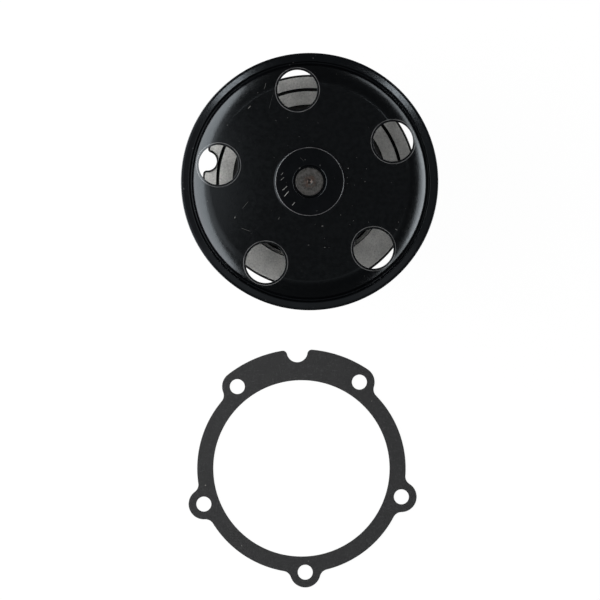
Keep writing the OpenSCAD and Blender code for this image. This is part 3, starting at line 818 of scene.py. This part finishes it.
# ---------------------------------------------------------------- the impeller
def make_impeller():
    """The shroud, its hub and its curved vanes in one skin, whose columns follow the vanes."""
    hub_r, bush_r, outer_r = 16.0, 11.5, IMPELLER_R - 0.1
    under = SHROUD_TOP_Z - SHROUD_T
    vane_foot = FLOOR_Z
    half = VANE_T / 2
    side = [(-half - 2.2, under), (-half - 1.0, under - 0.15), (-half - 0.35, under - 0.6), (-half, under - 1.6),
            (-half + 0.25, vane_foot + 0.5), (-half + 0.4, vane_foot + 0.12), (-half + 0.75, vane_foot)]
    vane = mirror_half(side)
    free = 12
    steps = 30

    def spread(r):
        """Angles and heights round the impeller at a radius."""
        share = max(0.0, min(1.0, (r - 14.0) / (IMPELLER_R - 0.6 - 14.0)))
        sweep = VANE_SWEEP * share**0.8
        out = []
        for v in range(VANES):
            middle = 360 / VANES * v + sweep
            wide = math.degrees(vane[-1][0] / r)
            for across, z in vane:
                out.append((middle + math.degrees(across / r), z))
            gap = 360 / VANES - 2 * wide
            out += [(middle + wide + gap * k / (free + 1), under) for k in range(1, free + 1)]
        return out

    def ring(r, z, columns_at=None):
        """A level ring, with its columns at the angles of the row at another radius, or its own."""
        return [(*polar(r, a), z) for a, _ in spread(columns_at or r)]

    rows = [ring(bush_r, vane_foot + 2.0, hub_r), ring(hub_r - 1.2, vane_foot + 2.0, hub_r),
            ring(hub_r - 0.2, vane_foot + 2.5, hub_r), ring(hub_r, vane_foot + 3.2, hub_r)]
    rows.append([(*polar(hub_r + 0.02, a), max(z, vane_foot + 3.3)) for a, z in spread(hub_r + 0.02)])
    for i in range(1, steps + 1):
        r = hub_r + 0.3 + (outer_r - 0.6 - hub_r - 0.3) * (i / steps)
        slope = ease(r, hub_r, hub_r + 5.0)
        rows.append([(*polar(r, a), max(z, vane_foot + 3.3 * (1 - slope)) if z < under - 1 else z)
                     for a, z in spread(r)])
    for r, tip_lift, disc_lift in ((outer_r - 0.15, 0.12, 0.05), (outer_r, 0.5, 0.3)):
        rows.append([(*polar(r, a), z + (tip_lift if z < under - 1 else disc_lift)) for a, z in spread(r)])
    rows.append(ring(outer_r, SHROUD_TOP_Z - 0.4))
    rows += [ring(r, SHROUD_TOP_Z) for r in (outer_r - 0.4, 36.0, 30.0, 24.0, 18.0)]
    rows += [ring(r, SHROUD_TOP_Z + 0.4, hub_r) for r in (bush_r + 0.4, bush_r)]
    verts = [point for row in rows for point in row]
    return mesh_object("impeller_moulding", verts, ring_faces(len(rows), len(rows[0])), 40)


# ---------------------------------------------------------------- finishes
# a painted highlight round the edge of each access hole
HIGHLIGHT_RINGS = [(*polar(ACCESS_R, ACCESS_ANGLE + i * EAR_STEP), HIGHLIGHT_RING_R) for i in range(ACCESS_COUNT)]
PAINT = black_paint("pulley_paint", 0.24, 1.1, 0.0002, [
    (53.8, 129, 45, 2.4, 0.3, 0.7), (50.8, 115, 75, 12.0, 0.16, 0.12), (59.3, 115, 75, 4.0, 0.16, 0.3),
    (38.5, 200, 50, 6.0, 0.2, 0.2), (45.0, 217, -20, 6.0, 0.22, 0.25), (46.6, 205.6, 80, 1.4, 0.4, 0.6),
    (26.0, 286, 30, 1.0, 0.6, 0.35), (22.9, 19, 10, 0.9, 0.6, 0.4), (21.3, 6, 60, 0.8, 0.4, 0.4),
    (21.4, 357, 20, 0.8, 0.4, 0.3), (31.2, 0, 80, 0.8, 0.4, 0.25), (55.7, 331, -30, 1.6, 0.3, 0.6),
    (38.0, 283, 20, 1.2, 0.3, 0.3), (33.0, 318, 40, 0.8, 0.3, 0.25), (27.0, 230, 60, 1.6, 0.4, 0.2)],
    HIGHLIGHT_RINGS)
LIP_PAINT = black_paint("lip_paint", 0.13, 0.3, 0.0024)
# the hub's paint has a painted highlight round the collar's edge
HUB_PAINT = black_paint("hub_paint", 0.16, 0.35, 0.0022, [
    (15.4, 174, 45, 3.2, 0.34, 0.55), (16.1, 164, 52, 2.4, 0.3, 0.5), (14.5, 195, 42, 4.2, 0.4, 0.8),
    (14.8, 208, 48, 4.6, 0.42, 1.0), (15.5, 234, 50, 2.8, 0.36, 0.8), (13.3, 109, -45, 3.0, 0.2, 0.15),
    (9.4, 126, 20, 1.2, 0.34, 0.5)], [(0.0, 0.0, 19.15)])
CAST = cast_aluminium("cast_aluminium")
MACHINED = machined_metal("machined_aluminium", (0.62, 0.62, 0.61), 0.9, 0.34, 0.6)
# a near-black matte finish that stands for painted shade in the casting's corners, groove and edges
PAINTED_SHADE = moulded("casting_painted_shade", (0.012, 0.012, 0.012), 0.9, 0.8, 0.03, Specular_IOR_Level=0.05)
SHAFT_STEEL = shaft_steel()
GASKET_SHEET = gasket_fibre()
BEARING_STEEL = machined_metal("bearing_steel", (0.6, 0.6, 0.61), 0.95, 0.22, 0.35, 0.003)
PRESSED_STEEL = machined_metal("pressed_steel", (0.55, 0.55, 0.56), 0.95, 0.38, 0.9, 0.004)
BRASS = machined_metal("seal_brass", (0.72, 0.5, 0.22), 0.95, 0.3, 0.7, 0.004, (0.8, 0.6, 0.3))
RUBBER = moulded("black_rubber", (0.02, 0.02, 0.02), 0.65)
BROWN_RUBBER = moulded("brown_rubber", (0.14, 0.06, 0.03), 0.55)
NYLON = moulded("cage_nylon", (0.62, 0.56, 0.42), 0.5)
CARBON = moulded("carbon", (0.035, 0.035, 0.038), 0.35, 0.3, 0.006)
CERAMIC = moulded("seal_ceramic", (0.78, 0.76, 0.7), 0.28, 0.3, 0.004)
IMPELLER_PLASTIC = moulded("impeller_plastic", (0.025, 0.025, 0.026), 0.45, 0.6, 0.02)

pulley = make_pulley()
hub = make_hub()
shaft = make_shaft()
gasket = make_gasket()
casting = make_housing()
impeller = make_impeller()

# piece, material, CAD body, CAD node it stands for, the record's material slot
for piece, material, body, node, slot in (
        (pulley, PAINT, "rotor", "pulley", "black_paint"),
        (hub, HUB_PAINT, "rotor", "pulley_hub", "black_paint"),
        (shaft, SHAFT_STEEL, "rotor", "pump_shaft", "ground_steel"),
        (gasket, GASKET_SHEET, "loose_gasket", "gasket", "gasket_fibre"),
        (casting, CAST, "pump_body", "housing", "cast_aluminium"),
        (impeller, IMPELLER_PLASTIC, "rotor", "impeller", "impeller_plastic")):
    piece.data.materials.clear()
    piece.data.materials.append(material)
    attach(piece, body)
    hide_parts(node)
# painted shade: the near-black finish goes on the neck's foot, the groove and the flange's edges
another_finish(casting, PAINTED_SHADE, is_painted_shade)
another_finish(casting, MACHINED, is_machined)
another_finish(pulley, LIP_PAINT, is_lip)

# the CAD nodes that stay as they are
for node, material in (
        ("bearing_outer_ring", BEARING_STEEL), ("front_bearing_balls", BEARING_STEEL),
        ("rear_bearing_balls", BEARING_STEEL), ("front_bearing_seal", BROWN_RUBBER),
        ("rear_bearing_seal", BROWN_RUBBER), ("front_ball_cage", NYLON), ("rear_ball_cage", NYLON),
        ("slinger", PRESSED_STEEL), ("seal_cup", BRASS), ("seal_bellows", RUBBER), ("seal_spring", PRESSED_STEEL),
        ("seal_spring_retainer", PRESSED_STEEL), ("carbon_face_ring", CARBON), ("mating_ring", CERAMIC),
        ("mating_ring_boot", RUBBER), ("impeller_bush", BRASS)):
    for place in NODES[node].material_slots:
        place.material = material


# ---------------------------------------------------------------- stage, lights and camera
def make_floor():
    """A pale floor that glows a little, so that it stays white under the pieces."""
    side = 30.0
    mesh = bpy.data.meshes.new("floor")
    z = (FLOOR_Z - 0.05) * MM
    mesh.from_pydata([(-side, -side, z), (side, -side, z), (side, side, z), (-side, side, z)], [], [(0, 1, 2, 3)])
    floor = bpy.data.objects.new("floor", mesh)
    bpy.context.scene.collection.objects.link(floor)
    s = Shader("floor_white", (0.05, 0.05, 0.05), 0.0, 0.9, Specular_IOR_Level=0.0)
    s.surface.inputs["Emission Color"].default_value = (1, 1, 1, 1)
    s.surface.inputs["Emission Strength"].default_value = 0.97
    mesh.materials.append(s.material)
    floor.visible_diffuse = False
    floor.visible_glossy = False


def area_light(name, aim, azimuth, elevation, distance, width, height, radiance):
    """An oval light that faces the point aim, its azimuth counted from +X round towards +Y."""
    data = bpy.data.lights.new(name, "AREA")
    data.shape = "ELLIPSE"
    data.size, data.size_y = width, height
    data.energy = radiance * math.pi * (math.pi / 4 * width * height)
    light = bpy.data.objects.new(name, data)
    x, y = polar(distance * math.cos(math.radians(elevation)), azimuth)
    towards = Vector((x, y, distance * math.sin(math.radians(elevation))))
    light.location = Vector(aim) * MM + towards
    light.rotation_euler = (-towards).to_track_quat("-Z", "Y").to_euler()
    light.visible_camera = False
    bpy.context.scene.collection.objects.link(light)


make_floor()
# small lights high up, which show on the pulley's lip, and wide ones low down on each side
for name, azimuth, width in (("upper_left_key", 130, 0.15), ("upper_right_key", 45, 0.145)):
    area_light(name, (*polar(69.6, azimuth), LIP_Z), azimuth, 90 - 2 * LIP_SLOPE, 1.5, width, 0.09, 9.6)
area_light("left_box", (0, 0, WEB_Z), 178, 2, 0.6, 1.55, 1.02, 4.9)
area_light("left_high", (0, 0, WEB_Z), 184, 53, 0.8, 0.8, 0.3, 1.1)
area_light("right_box", (0, 0, WEB_Z), -6, 4, 0.8, 0.8, 0.58, 3.4)
area_light("right_low", (0, 0, WEB_Z), 6, 1, 1.0, 3.6, 0.36, 3.4)
area_light("low_fill", (0, 0, WEB_Z), 270, 72, 1.5, 1.6, 0.5, 0.2)
area_light("left_fill", (0, 0, WEB_Z), 190, 74, 1.5, 1.1, 0.4, 0.11)
area_light("right_fill", (0, 0, WEB_Z), -10, 74, 1.5, 1.1, 0.4, 0.12)
# a dim panel close over the left of the web
area_light("web_panel", (-64, 0, WEB_Z), 180, 90, 0.11, 0.042, 0.1, 0.5)

world = bpy.data.worlds.new("studio")
world.use_nodes = True
world.node_tree.nodes["Background"].inputs["Color"].default_value = (0.066, 0.067, 0.07, 1)
bpy.context.scene.world = world
bpy.context.scene.view_settings.view_transform = "Standard"

FRAME_WIDTH = 337.5 * MM
CAMERA_HEIGHT = 2.0
CAMERA_CENTRE = (-5.41 * MM, -66.6 * MM)
lens = bpy.data.cameras.new("camera")
lens.type = "ORTHO"
lens.ortho_scale = FRAME_WIDTH
camera = bpy.data.objects.new("camera", lens)
camera.location = (*CAMERA_CENTRE, CAMERA_HEIGHT)
bpy.context.scene.collection.objects.link(camera)
bpy.context.scene.camera = camera
